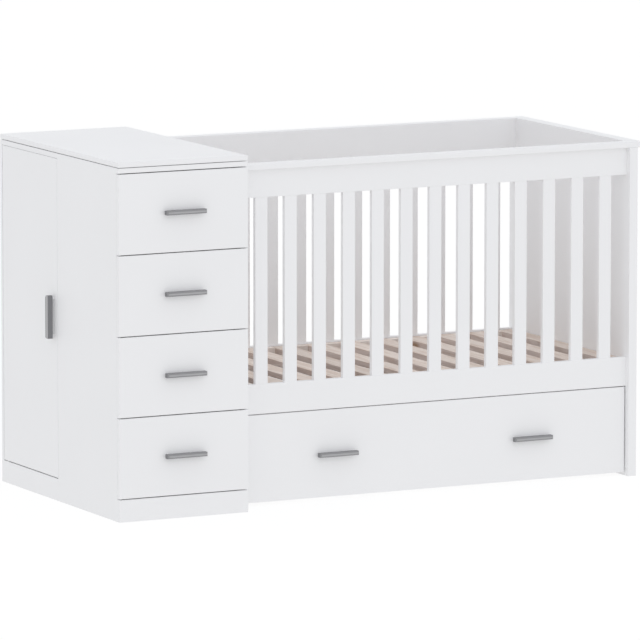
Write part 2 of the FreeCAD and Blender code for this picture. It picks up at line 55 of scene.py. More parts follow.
LOG = logging.getLogger("crib")
MM = 0.001
WHITE = (1.0, 1.0, 1.0)
BLACK = (0.0, 0.0, 0.0)
NOISE_AVERAGE = 0.5
SMOOTH_ANGLE = 0.6
ROUND_STEPS = 3
ROUND_PROFILE = 0.5


class Axis(Enum):
    """The ways that grain, brushing or a row of boards can run."""

    X = 0
    Y = 1
    Z = 2


class Facing(Enum):
    """The ways that a small piece can face."""

    LEFT = (-1.0, 0.0, 0.0)
    RIGHT = (1.0, 0.0, 0.0)
    FRONT = (0.0, -1.0, 0.0)
    BACK = (0.0, 1.0, 0.0)
    DOWN = (0.0, 0.0, -1.0)


class Body(Enum):
    """The bodies that small hardware rides on, apart from the numbered drawers."""

    FRAME = "frame"
    DOOR = "door"
    BED_DRAWER = "bed_drawer"


def shade(colour: Triple, factor: float) -> Triple:
    """A colour made darker or lighter by a factor."""
    return tuple(min(1.0, channel * factor) for channel in colour)


def lengthwise(axis: Axis, along: float, across: float) -> Triple:
    """Repeats per metre that differ along one axis."""
    return tuple(along if way is axis else across for way in Axis)


class NodeSheet:
    """Writes nodes into one tree."""

    def __init__(self, tree: bpy.types.NodeTree) -> None:
        """Take up the tree to write into."""
        self.tree = tree

    def add(
        self, kind: str, props: dict[str, object] | None = None, **inputs: object
    ) -> bpy.types.Node:
        """Add a node, set its properties and fill or link its inputs.

        Args:
            kind: The node's type.
            props: Properties to set on the node.
            inputs: Input sockets by name, with spaces written as underscores.

        Returns:
            The new node.
        """
        node = self.tree.nodes.new(kind)
        for name, value in (props or {}).items():
            setattr(node, name, value)
        self.fill_all(node, inputs)
        return node

    def fill_all(self, node: bpy.types.Node, inputs: dict[str, object]) -> None:
        """Fill or link a node's inputs by name, with spaces written as underscores."""
        for name, value in inputs.items():
            self.fill(node, name.replace("_", " "), value)

    def fill(self, node: bpy.types.Node, name: str | int, value: object) -> None:
        """Link a socket into an input, or set the input's own value.

        Args:
            node: The node that has the input.
            name: The input's name or place.
            value: A socket to link, or a constant.
        """
        socket = node.inputs[name]
        if isinstance(value, Socket):
            self.tree.links.new(value, socket)
        else:
            socket.default_value = value

    def reckon(
        self, operation: str, first: object, second: object = None, kind: str = "ShaderNodeMath"
    ) -> Socket:
        """One step of arithmetic.

        Args:
            operation: The step's name in Blender.
            first: The first value or socket.
            second: The second one, where the step has two.
            kind: The node's type, for numbers or for vectors.

        Returns:
            The result.
        """
        node = self.add(kind, {"operation": operation})
        self.fill(node, 0, first)
        if second is not None:
            self.fill(node, 1, second)
        return node.outputs[0]


class Graph(NodeSheet):
    """Writes the nodes of one material."""

    def __init__(self, name: str) -> None:
        """Start a material with a principled surface.

        Args:
            name: The material's name.
        """
        self.material = bpy.data.materials.new(name)
        self.material.use_nodes = True
        super().__init__(self.material.node_tree)
        self.surface = self.tree.nodes["Principled BSDF"]
        coordinates = self.add("ShaderNodeTexCoord")
        self.place = coordinates.outputs["Object"]
        self.facing = coordinates.outputs["Normal"]

    def part(self, vector: Socket, axis: Axis) -> Socket:
        """A vector's part along one axis."""
        return self.add("ShaderNodeSeparateXYZ", Vector=vector).outputs[axis.value]

    def stretched(self, scale: Triple, offset: Socket | None = None) -> Socket:
        """Object coordinates scaled per axis.

        Args:
            scale: Repeats per metre along X, Y and Z.
            offset: A vector added before the scaling, if any.

        Returns:
            The scaled coordinates.
        """
        place = self.place
        if offset is not None:
            place = self.reckon("ADD", place, offset, "ShaderNodeVectorMath")
        return self.add("ShaderNodeMapping", Vector=place, Scale=scale).outputs["Vector"]

    def noise(
        self,
        scale: float | Triple,
        detail: float = 2.0,
        distortion: float = 0.0,
        offset: Socket | None = None,
    ) -> Socket:
        """Smooth noise on object coordinates.

        Args:
            scale: Repeats per metre, one for all ways or one each along X, Y and Z.
            detail: Octaves of finer noise.
            distortion: How far the noise is bent.
            offset: A vector that shifts the noise, if any.

        Returns:
            The noise value, around NOISE_AVERAGE.
        """
        scales = (scale,) * 3 if isinstance(scale, float) else scale
        place = self.stretched(scales, offset)
        node = self.add("ShaderNodeTexNoise", Vector=place, Scale=1.0, Detail=detail)
        self.fill(node, "Distortion", distortion)
        return node.outputs["Fac"]

    def ramp(self, value: Socket, stops: Stops) -> Socket:
        """A colour ramp over a value.

        Args:
            value: The driving value.
            stops: Positions with their colours.

        Returns:
            The colour.
        """
        node = self.add("ShaderNodeValToRGB", Fac=value)
        elements = node.color_ramp.elements
        while len(elements) < len(stops):
            elements.new(0.5)
        for element, (position, colour) in zip(elements, stops):
            element.position = position
            element.color = (*colour, 1.0)
        return node.outputs["Color"]

    def mottle(self, value: Socket, dark: Triple, light: Triple, reach: float = 0.2) -> Socket:
        """Two tones that follow a noise, each full at a reach from the noise's average."""
        return self.ramp(value, [(NOISE_AVERAGE - reach, dark), (NOISE_AVERAGE + reach, light)])

    def tinted(self, colour: Socket, tint: Socket, share: float = 1.0) -> Socket:
        """A colour multiplied by a share of a tint, which is a colour or a grey value."""
        inputs = {"Fac": share, "Color1": colour, "Color2": tint}
        return self.add("ShaderNodeMixRGB", {"blend_type": "MULTIPLY"}, **inputs).outputs["Color"]

    def covered(self, colour: Socket, cover: Triple, share: Socket) -> Socket:
        """A colour with a share of another one over it."""
        node = self.add("ShaderNodeMixRGB", Fac=share, Color1=colour, Color2=(*cover, 1.0))
        return node.outputs["Color"]

    def spread(self, value: Socket, low: float, high: float, start: float = 0.0) -> Socket:
        """Map a value that runs from its start to 1 on to another range."""
        node = self.add("ShaderNodeMapRange", Value=value, From_Min=start, To_Min=low, To_Max=high)
        return node.outputs["Result"]

    def about(self, value: Socket, middle: float, play: float) -> Socket:
        """Map a value from 0 to 1 on to a range that plays about its middle."""
        return self.spread(value, middle - play, middle + play)

    def bump(self, height: Socket, strength: float, distance: float) -> None:
        """Raise the surface's normal from a height of up to a distance in metres."""
        node = self.add("ShaderNodeBump", Height=height, Strength=strength, Distance=distance)
        self.fill(self.surface, "Normal", node.outputs["Normal"])

    def finish(self, **inputs: object) -> Material:
        """Fill the surface's inputs and give the finished material."""
        self.fill_all(self.surface, inputs)
        return self.material


@dataclass(frozen=True)
class Lacquer:
    """Satin white lacquer on board: faint cloudiness, rolled-on stipple and uneven gloss."""

    name: str
    colour: Triple
    roughness: float = 0.42
    gloss_play: float = 0.05
    gloss_patches: Triple = (9.0, 11.0, 10.0)
    cloud: float = 0.985
    cloud_scale: Triple = (2.3, 2.9, 2.6)
    cloud_detail: float = 3.0
    stipple: float = 0.05
    stipple_scale: float = 700.0
    stipple_height: float = 0.4 * MM
    ior: float = 1.46

    def material(self) -> Material:
        """Build the lacquer's nodes.

        Returns:
            The material.
        """
        graph = Graph(self.name)
        clouds = graph.noise(self.cloud_scale, self.cloud_detail)
        patches = graph.noise(self.gloss_patches)
        graph.bump(graph.noise(self.stipple_scale), self.stipple, self.stipple_height)
        return graph.finish(
            Base_Color=graph.mottle(clouds, shade(self.colour, self.cloud), self.colour),
            Roughness=graph.about(patches, self.roughness, self.gloss_play),
            IOR=self.ior,
        )


@dataclass(frozen=True)
class Pine:
    """Bare pine: growth rings cut lengthwise, pores, knots, a tone for each board and painted shade on the
    upright faces.
    """

    name: str
    early: Triple
    late: Triple
    knot: Triple
    grain: Axis
    row: Axis
    first: float
    pitch: float
    # Painted shade: a darker tint for faces that stand upright, where the slats shade each other.
    painted_side_shade: Triple = (0.86, 0.83, 0.84)
    painted_side_shade_turn: Range = (0.3, 0.8)
    shift: Triple = (3.0, 3.0, 3.0)
    board_tone: Range = (0.92, 1.04)
    ring_scale: Range = (1.3, 16.0)
    ring_bend: float = 0.4
    ring_count: float = 46.0
    ring_stops: Range = (0.35, 0.9)
    pore_scale: Range = (14.0, 900.0)
    pore_detail: float = 1.0
    pore_tone: Triple = (0.72, 0.66, 0.6)
    pore_stops: Range = (0.35, 0.55)
    pore_share: float = 0.25
    pore_depth: float = 0.25
    pore_height: float = 0.3 * MM
    knot_scale: Range = (3.2, 7.0)
    knot_stops: Range = (0.05, 0.13)
    roughness: Range = (0.5, 0.7)
    ior: float = 1.5

    def boards(self, graph: Graph) -> tuple[Socket, Socket]:
        """Give each board of the row its own luck.

        Args:
            graph: The material's nodes.

        Returns:
            A shift of the board's pattern and a random value of the board.
        """
        along = graph.part(graph.place, self.row)
        reach = graph.reckon("SUBTRACT", along, self.first - self.pitch / 2)
        board = graph.reckon("FLOOR", graph.reckon("DIVIDE", reach, self.pitch))
        luck = graph.add("ShaderNodeTexWhiteNoise", {"noise_dimensions": "1D"}, W=board)
        shift = graph.reckon("MULTIPLY", luck.outputs["Color"], self.shift, "ShaderNodeVectorMath")
        return shift, luck.outputs["Value"]

    def rings(self, graph: Graph, shift: Socket) -> Socket:
        """The colour of the growth rings.

        Args:
            graph: The material's nodes.
            shift: The shift of the board's pattern.

        Returns:
            The colour.
        """
        scale = lengthwise(self.grain, *self.ring_scale)
        bent = graph.noise(scale, distortion=self.ring_bend, offset=shift)
        wave = graph.reckon("SINE", graph.reckon("MULTIPLY", bent, self.ring_count))
        rings = graph.spread(wave, 0.0, 1.0, start=-1.0)
        return graph.ramp(rings, list(zip(self.ring_stops, (self.early, self.late))))

    def knots(self, graph: Graph, shift: Socket) -> Socket:
        """Where the knots are.

        Args:
            graph: The material's nodes.
            shift: The shift of the board's pattern.

        Returns:
            White on the knots, black elsewhere.
        """
        place = graph.stretched(lengthwise(self.grain, *self.knot_scale), shift)
        cells = graph.add("ShaderNodeTexVoronoi", Vector=place, Scale=1.0)
        return graph.ramp(cells.outputs["Distance"], list(zip(self.knot_stops, (WHITE, BLACK))))

    def material(self) -> Material:
        """Build the pine's nodes.

        Returns:
            The material.
        """
        graph = Graph(self.name)
        shift, luck = self.boards(graph)
        pores = graph.noise(lengthwise(self.grain, *self.pore_scale), self.pore_detail, offset=shift)
        streaks = graph.ramp(pores, list(zip(self.pore_stops, (self.pore_tone, WHITE))))
        wood = graph.tinted(self.rings(graph, shift), streaks, self.pore_share)
        wood = graph.covered(wood, self.knot, self.knots(graph, shift))
        wood = graph.tinted(wood, graph.spread(luck, *self.board_tone))
        # Painted shade: upright faces get the side shade tint, and level faces keep the wood's colour.
        level = graph.reckon("ABSOLUTE", graph.part(graph.facing, Axis.Z))
        edges = graph.ramp(level, list(zip(self.painted_side_shade_turn, (self.painted_side_shade, WHITE))))
        graph.bump(pores, self.pore_depth, self.pore_height)
        return graph.finish(
            Base_Color=graph.tinted(wood, edges),
            Roughness=graph.spread(pores, *self.roughness),
            IOR=self.ior,
        )


@dataclass(frozen=True)
class Brushing:
    """Fine lines that brushing leaves in metal."""

    way: Axis
    along: float = 25.0
    across: float = 1500.0
    height: float = 0.2 * MM

    def lines(self, graph: Graph) -> Socket:
        """A noise drawn out along the brushing's way."""
        return graph.noise(lengthwise(self.way, self.along, self.across))


@dataclass(frozen=True)
class BrushedMetal:
    """Metal with fine brushing one way and soft blotches in its gloss."""

    name: str
    colour: Triple
    brushing: Brushing
    roughness: float
    glossier: float = 0.06
    duller: float = 0.08
    tones: Range = (0.9, 1.06)
    depth: float = 0.12
    blotch_scale: float = 60.0

    def material(self) -> Material:
        """Build the metal's nodes.

        Returns:
            The material.
        """
        graph = Graph(self.name)
        lines = self.brushing.lines(graph)
        blotches = graph.noise(self.blotch_scale)
        glossiest, dullest = self.roughness - self.glossier, self.roughness + self.duller
        graph.bump(lines, self.depth, self.brushing.height)
        return graph.finish(
            Base_Color=graph.mottle(lines, *(shade(self.colour, tone) for tone in self.tones)),
            Metallic=1.0,
            Roughness=graph.spread(blotches, glossiest, dullest),
        )


@dataclass(frozen=True)
class HandleMetal:
    """Grey handle metal with painted shading, a tone for face, bevels and sides by the way each faces, and
    a painted highlight on the posts behind the bar.
    """

    name: str
    # Painted shading: side, bevel and face are tones set by the way each part faces.
    side: Triple
    bevel: Triple
    face: Triple
    brushing: Brushing
    outward: Axis
    bar_rear: float
    turns: Triple = (0.0, 0.72, 0.97)
    # Painted highlight: the posts in the shade behind the bar get a near-white colour.
    post: Triple = (0.86, 0.86, 0.87)
    brushed: Triple = (0.9, 0.9, 0.9)
    depth: float = 0.1
    metallic: float = 0.6
    roughness: Range = (0.39, 0.51)

    def material(self) -> Material:
        """Build the handle's nodes.

        Returns:
            The material.
        """
        graph = Graph(self.name)
        lines = self.brushing.lines(graph)
        # Painted shading: the tone follows how far each face turns outward from the mounting face.
        turn = graph.reckon("MULTIPLY", graph.part(graph.facing, self.outward), -1.0)
        tone = graph.ramp(turn, list(zip(self.turns, (self.side, self.bevel, self.face))))
        tone = graph.tinted(tone, graph.mottle(lines, self.brushed, WHITE))
        # Painted highlight: all that lies behind the bar's rear gets the bright post colour.
        behind = graph.reckon("GREATER_THAN", graph.part(graph.place, self.outward), self.bar_rear)
        graph.bump(lines, self.depth, self.brushing.height)
        return graph.finish(
            Base_Color=graph.covered(tone, self.post, behind),
            Metallic=self.metallic,
            Roughness=graph.spread(lines, *self.roughness),
        )


@dataclass(frozen=True)
class Plastic:
    """Moulded plastic with a fine spark-eroded grain."""

    name: str
    colour: Triple
    roughness: float = 0.5
    gloss_play: float = 0.06
    grain: float = 0.12
    grain_scale: float = 1400.0
    grain_height: float = 0.3 * MM
    cloud_scale: float = 25.0
    tones: Range = (0.95, 1.04)
    ior: float = 1.47

    def material(self) -> Material:
        """Build the plastic's nodes.

        Returns:
            The material.
        """
        graph = Graph(self.name)
        grain = graph.noise(self.grain_scale)
        cloud = graph.noise(self.cloud_scale)
        graph.bump(grain, self.grain, self.grain_height)
        return graph.finish(
            Base_Color=graph.mottle(cloud, *(shade(self.colour, tone) for tone in self.tones)),
            Roughness=graph.about(grain, self.roughness, self.gloss_play),
            IOR=self.ior,
        )


@dataclass(frozen=True)
class Hardboard:
    """White-faced thin board with a faint fibre mottle."""

    name: str
    colour: Triple
    roughness: Range = (0.5, 0.62)
    fibre_scale: float = 160.0
    fibre_detail: float = 6.0
    fibre_bend: float = 0.6
    fibre_tone: float = 0.96
    fibre_reach: float = 0.15
    fibre_depth: float = 0.1
    fibre_height: float = 0.3 * MM
    ior: float = 1.46

    def material(self) -> Material:
        """Build the thin board's nodes.

        Returns:
            The material.
        """
        graph = Graph(self.name)
        fibres = graph.noise(self.fibre_scale, self.fibre_detail, self.fibre_bend)
        dark = shade(self.colour, self.fibre_tone)
        graph.bump(fibres, self.fibre_depth, self.fibre_height)
        return graph.finish(
            Base_Color=graph.mottle(fibres, dark, self.colour, self.fibre_reach),
            Roughness=graph.spread(fibres, *self.roughness),
            IOR=self.ior,
        )


def mesh_piece(name: str, bm: bmesh.types.BMesh, material: Material) -> Piece:
    """Turn a finished edit mesh into an object at the origin.

    Args:
        name: The piece's name.
        bm: The edit mesh, which is freed.
        material: The piece's finish.

    Returns:
        The new object.
    """
    bmesh.ops.recalc_face_normals(bm, faces=bm.faces)
    mesh = bpy.data.meshes.new(name)
    bm.to_mesh(mesh)
    bm.free()
    mesh.materials.append(material)
    mesh.shade_smooth()
    mesh.set_sharp_from_angle(angle=SMOOTH_ANGLE)
    piece = bpy.data.objects.new(name, mesh)
    bpy.context.scene.collection.objects.link(piece)
    return piece


def rounded_block(low: Vector, high: Vector, radius: float) -> bmesh.types.BMesh:
    """A block with rounded edges.

    Args:
        low: The block's lowest corner.
        high: The block's highest corner.
        radius: The rounding's width.

    Returns:
        The block as an edit mesh.
    """
    bm = bmesh.new()
    middle, size = (low + high) / 2, high - low
    place = Matrix.Translation(middle) @ Matrix.Diagonal((*size, 1.0))
    made = bmesh.ops.create_cube(bm, size=1.0, matrix=place)
    edges = list({edge for vert in made["verts"] for edge in vert.link_edges})
    bmesh.ops.bevel(
        bm,
        geom=edges,
        offset=radius,
        segments=ROUND_STEPS,
        profile=ROUND_PROFILE,
        affect="EDGES",
    )
    return bm


@dataclass(frozen=True)
class Seat:
    """A place for a small piece: where it sits and the way it faces."""

    x: float
    y: float
    z: float
    facing: Facing


class Repeats(NodeSheet):
    """A node tree that puts one kind of small piece on many seats."""

    def __init__(self, name: str, sizes: tuple[str, ...]) -> None:
        """Start a tree with its inputs for sizes and finish.

        Args:
            name: The tree's name.
            sizes: The names of the sizes.
        """
        super().__init__(bpy.data.node_groups.new(name, "GeometryNodeTree"))
        face = self.tree.interface
        face.new_socket("Geometry", in_out="INPUT", socket_type="NodeSocketGeometry")
        face.new_socket("Geometry", in_out="OUTPUT", socket_type="NodeSocketGeometry")
        self.sockets: dict[str, str] = {}
        for label in (*sizes, "Finish"):
            kind = "NodeSocketMaterial" if label == "Finish" else "NodeSocketFloat"
            self.sockets[label] = face.new_socket(label, in_out="INPUT", socket_type=kind).identifier
        self.given = self.add("NodeGroupInput").outputs
        self.end = self.add("NodeGroupOutput")

    def times(self, label: str, factor: float) -> Socket:
        """One of the tree's sizes multiplied by a factor."""
        return self.reckon("MULTIPLY", self.given[label], factor)

    def vector(self, x: object, y: object, z: object) -> Socket:
        """A vector from three values or sockets."""
        return self.add("ShaderNodeCombineXYZ", X=x, Y=y, Z=z).outputs[0]

    def close(self, head: Socket) -> None:
        """Put a copy on every seat, make it real and give it its finish.

        Args:
            head: The geometry of one piece at its seat, facing +Z.
        """
        named = {"data_type": "FLOAT_VECTOR"}
        facing = self.add("GeometryNodeInputNamedAttribute", named, Name="facing").outputs["Attribute"]
        turn = self.add("FunctionNodeAlignRotationToVector", {"axis": "Z"}, Vector=facing).outputs[0]
        seats = self.add("GeometryNodeMeshToPoints", Mesh=self.given["Geometry"]).outputs[0]
        heads = self.add("GeometryNodeInstanceOnPoints", Points=seats, Instance=head, Rotation=turn)
        real = self.add("GeometryNodeRealizeInstances", Geometry=heads.outputs[0]).outputs[0]
        done = self.add("GeometryNodeSetMaterial", Geometry=real, Material=self.given["Finish"])
        self.fill(self.end, 0, done.outputs[0])

    def place(
        self, name: str, seats: list[Seat], sizes: dict[str, float], material: Material
    ) -> Piece:
        """Make one plain mesh with a copy on each seat.

        Args:
            name: The piece's name.
            seats: The seats.
            sizes: The tree's sizes by name.
            material: The finish.

        Returns:
            The piece.
        """
        mesh = bpy.data.meshes.new(name + "_seats")
        mesh.from_pydata([(seat.x, seat.y, seat.z) for seat in seats], [], [])
        facing = mesh.attributes.new("facing", "FLOAT_VECTOR", "POINT")
        facing.data.foreach_set("vector", [value for seat in seats for value in seat.facing.value])
        piece = bpy.data.objects.new(name, mesh)
        bpy.context.scene.collection.objects.link(piece)
        modifier = piece.modifiers.new("repeats", "NODES")
        modifier.node_group = self.tree
        for label, value in (*sizes.items(), ("Finish", material)):
            modifier[self.sockets[label]] = value
        bpy.context.view_layer.update()
        evaluated = piece.evaluated_get(bpy.context.evaluated_depsgraph_get())
        made = bpy.data.meshes.new_from_object(evaluated)
        piece.modifiers.clear()
        piece.data = made
        made.name = name
        made.shade_smooth()
        made.set_sharp_from_angle(angle=SMOOTH_ANGLE)
        return piece


def screw_heads(sides: int = 20, crown: float = 0.72, slot: Triple = (0.95, 0.2, 1.2)) -> Repeats:
    """Low pan heads with a cross recess.

    Args:
        sides: The corners of the head's round.
        crown: The crown's share of the head's radius.
        slot: The recess cutter's length and width as shares of the radius, and its height as a
            share of the head's height.

    Returns:
        The tree, with the sizes Radius and Height.
    """
    tree = Repeats("screw_heads", ("Radius", "Height"))
    cone = tree.add(
        "GeometryNodeMeshCone",
        {"fill_type": "NGON"},
        Vertices=sides,
        Radius_Top=tree.times("Radius", crown),
        Radius_Bottom=tree.given["Radius"],
        Depth=tree.given["Height"],
    )
    long, slim = tree.times("Radius", slot[0]), tree.times("Radius", slot[1])
    deep = tree.times("Height", slot[2])
    top = tree.vector(0.0, 0.0, tree.given["Height"])
    cut = tree.add("GeometryNodeMeshBoolean", {"operation": "DIFFERENCE", "solver": "EXACT"})
    tree.fill(cut, "Mesh 1", cone.outputs["Mesh"])
    for size in (tree.vector(long, slim, deep), tree.vector(slim, long, deep)):
        bar = tree.add("GeometryNodeMeshCube", Size=size)
        raised = tree.add("GeometryNodeTransform", Geometry=bar.outputs["Mesh"], Translation=top)
        tree.fill(cut, "Mesh 2", raised.outputs[0])
    tree.close(cut.outputs["Mesh"])
    return tree


def soft_domes(sides: int = 20, rings: int = 12) -> Repeats:
    """Low domed pads.

    Args:
        sides: The corners of the pad's round.
        rings: The steps from pole to pole.

    Returns:
        The tree, with the sizes Radius and Height.
    """
    tree = Repeats("soft_domes", ("Radius", "Height"))
    radius = tree.given["Radius"]
    ball = tree.add("GeometryNodeMeshUVSphere", Segments=sides, Rings=rings, Radius=radius)
    flat = tree.vector(1.0, 1.0, tree.reckon("DIVIDE", tree.given["Height"], radius))
    dome = tree.add("GeometryNodeTransform", Geometry=ball.outputs["Mesh"], Scale=flat)
    tree.close(dome.outputs[0])
    return tree


def eased_blocks() -> Repeats:
    """Blocks with eased edges, each lying along the way it faces.

    Returns:
        The tree, with the sizes Width, Height, Length and Ease.
    """
    tree = Repeats("eased_blocks", ("Width", "Height", "Length", "Ease"))
    width, height, ease = (tree.given[label] for label in ("Width", "Height", "Ease"))
    outline = tree.add("GeometryNodeCurvePrimitiveQuadrilateral", Width=width, Height=height)
    eased = tree.add(
        "GeometryNodeFilletCurve",
        {"mode": "POLY"},
        Curve=outline.outputs[0],
        Count=ROUND_STEPS,
        Radius=ease,
    )
    run = tree.add("GeometryNodeCurvePrimitiveLine")
    for end, share in (("Start", -0.5), ("End", 0.5)):
        tree.fill(run, end, tree.vector(0.0, 0.0, tree.times("Length", share)))
    block = tree.add(
        "GeometryNodeCurveToMesh",
        Curve=run.outputs[0],
        Profile_Curve=eased.outputs[0],
        Fill_Caps=True,
    )
    tree.close(block.outputs[0])
    return tree


@dataclass
class Palette:
    """Every finish of the crib, ready as materials."""

    board: Material = field(init=False)
    hardboard: Material = field(init=False)
    base_slat: Material = field(init=False)
    ledger: Material = field(init=False)
    spacer: Material = field(init=False)
    drawer_handle: Material = field(init=False)
    bed_handle: Material = field(init=False)
    door_handle: Material = field(init=False)
    runner: Material = field(init=False)
    zinc: Material = field(init=False)
    nylon: Material = field(init=False)
    castor: Material = field(init=False)
    pad: Material = field(init=False)
    catch: Material = field(init=False)

    base_slats: int = 12
    base_slat_width: float = 62 * MM
    base_pitch: float = field(init=False)
    ledger_row: float = 500 * MM
    handle_depth: float = 21 * MM

    white: Triple = (0.925, 0.923, 0.93)
    thin_white: Triple = (0.8, 0.79, 0.77)
    pine_early: Triple = (0.855, 0.745, 0.67)
    pine_late: Triple = (0.775, 0.645, 0.56)
    pine_knot: Triple = (0.42, 0.27, 0.17)
    # Painted light: a lighter copy of the pine for the spacers, so their faces in the gaps between the base
    # slats look as bright as the lit slat tops.
    spacer_painted_light_early: Triple = (0.93, 0.84, 0.78)
    spacer_painted_light_late: Triple = (0.87, 0.76, 0.69)
    # Painted shading of the handles: tones for sides, bevels and faces, set apart for level and upright
    # handles.
    handle_side_painted_shading: Triple = (0.26, 0.26, 0.27)
    level_bevel_painted_shading: Triple = (0.31, 0.31, 0.32)
    level_face_painted_shading: Triple = (0.41, 0.41, 0.42)
    upright_bevel_painted_shading: Triple = (0.48, 0.48, 0.49)
    upright_face_painted_shading: Triple = (0.3, 0.3, 0.31)
    runner_grey: Triple = (0.62, 0.63, 0.65)
    zinc_grey: Triple = (0.66, 0.66, 0.67)
    nylon_cream: Triple = (0.82, 0.81, 0.78)
    castor_black: Triple = (0.12, 0.12, 0.125)
    pad_pale: Triple = (0.78, 0.78, 0.76)
    catch_white: Triple = (0.82, 0.82, 0.82)

    def __post_init__(self) -> None:
        """Build the materials."""
        self.board = Lacquer("white_lacquer", self.white).material()
        self.hardboard = Hardboard("white_hardboard", self.thin_white).material()
        self.build_pine()
        self.build_handles()
        across, upright = Brushing(Axis.Y), Brushing(Axis.Z)
        self.runner = BrushedMetal("zinc_runner", self.runner_grey, across, roughness=0.32).material()
        self.zinc = BrushedMetal("zinc_hardware", self.zinc_grey, upright, roughness=0.3).material()
        self.nylon = Plastic("natural_nylon", self.nylon_cream).material()
        self.castor = Plastic("castor_plastic", self.castor_black, roughness=0.45).material()
        self.pad = Plastic("clear_pad", self.pad_pale, roughness=0.35, grain=0.02).material()
        self.catch = Plastic("catch_plastic", self.catch_white, roughness=0.4).material()

    def build_pine(self) -> None:
        """Build the pine of the mattress base, with its rows of boards."""
        low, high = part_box("base_slats")
        first = low.x + self.base_slat_width / 2
        pitch = (high.x - low.x - self.base_slat_width) / (self.base_slats - 1)
        self.base_pitch = pitch
        pine = (self.pine_early, self.pine_late, self.pine_knot)
        # Painted light: the spacers' lighter pine stands in for light in the gaps.
        pale = (self.spacer_painted_light_early, self.spacer_painted_light_late, self.pine_knot)
        self.base_slat = Pine("pine_slats", *pine, Axis.Y, Axis.X, first, pitch).material()
        self.ledger = Pine("pine_ledgers", *pine, Axis.X, Axis.Y, 0.0, self.ledger_row).material()
        gaps = (Axis.X, Axis.X, first + pitch / 2, pitch)
        # The spacers get no painted side shade.
        self.spacer = Pine("pine_spacers", *pale, *gaps, painted_side_shade=WHITE).material()

    def build_handles(self) -> None:
        """Build the grey metal of the bar handles, each with its painted shading and the place where its
        bar ends.
        """
        level = (self.handle_side_painted_shading, self.level_bevel_painted_shading, self.level_face_painted_shading, Brushing(Axis.X), Axis.Y)
        upright = (self.handle_side_painted_shading, self.upright_bevel_painted_shading, self.upright_face_painted_shading, Brushing(Axis.Z), Axis.X)
        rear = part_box("drawer_1_handle")[0].y + self.handle_depth
        self.drawer_handle = HandleMetal("grey_drawer_handle", *level, rear).material()
        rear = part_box("bed_drawer_handles")[0].y + self.handle_depth
        self.bed_handle = HandleMetal("grey_bed_handle", *level, rear).material()
        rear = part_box("door_handle")[0].x + self.handle_depth
        self.door_handle = HandleMetal("grey_door_handle", *upright, rear).material()

    def for_slot(self, node: str, slot: str) -> Material:
        """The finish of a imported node.

        Args:
            node: The node's name.
            slot: The record's material slot of the node.

        Returns:
            The material.
        """
        if slot == "pine":
            return self.ledger if node == "base_ledgers" else self.base_slat
        if slot == "grey_metal":
            others = {"door_handle": self.door_handle, "bed_drawer_handles": self.bed_handle}
            return others.get(node, self.drawer_handle)
        return {
            "white_board": self.board,
            "hardboard": self.hardboard,
            "runner_steel": self.runner,
            "bright_steel": self.zinc,
            "nylon": self.nylon,
            "castor_plastic": self.castor,
        }[slot]


def dress_nodes(palette: Palette) -> None:
    """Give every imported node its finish.

    Args:
        palette: The finishes.
    """
    for part in frame["record"]["subparts"]:
        node = frame["nodes"][part["node"]]
        material = palette.for_slot(part["node"], part["material_slot"])
        node.data.materials.clear()
        node.data.materials.append(material)


def carry(piece: Piece, body: str) -> None:
    """Put a finished piece on a body.

    Args:
        piece: The piece.
        body: The body it moves with.
    """
    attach(piece, body)
    LOG.info("%s rides on %s, %d faces", piece.name, body, len(piece.data.polygons))


@dataclass(frozen=True)
class ScrewHead:
    """Sizes of a pan head screw's head."""

    radius: float = 3.5 * MM
    height: float = 1.4 * MM


@dataclass
class Screws:
    """Zinc screw heads, set in groups."""

    tree: Repeats
    finish: Material

    def drive(self, name: str, seats: list[Seat], head: ScrewHead, body: str) -> None:
        """Set a named group of heads on its seats and let it ride on a body."""
        sizes = {"Radius": head.radius, "Height": head.height}
        carry(self.tree.place(name, seats, sizes, self.finish), body)


@dataclass(frozen=True)
class HandleSizes:
    """Sizes of the bar handles that their screws follow."""

    length: float = 131 * MM
    post_reach: float = 56 * MM

    def posts(self, middle: float) -> Range:
        """The two posts' places along the bar."""
        return middle - self.post_reach, middle + self.post_reach


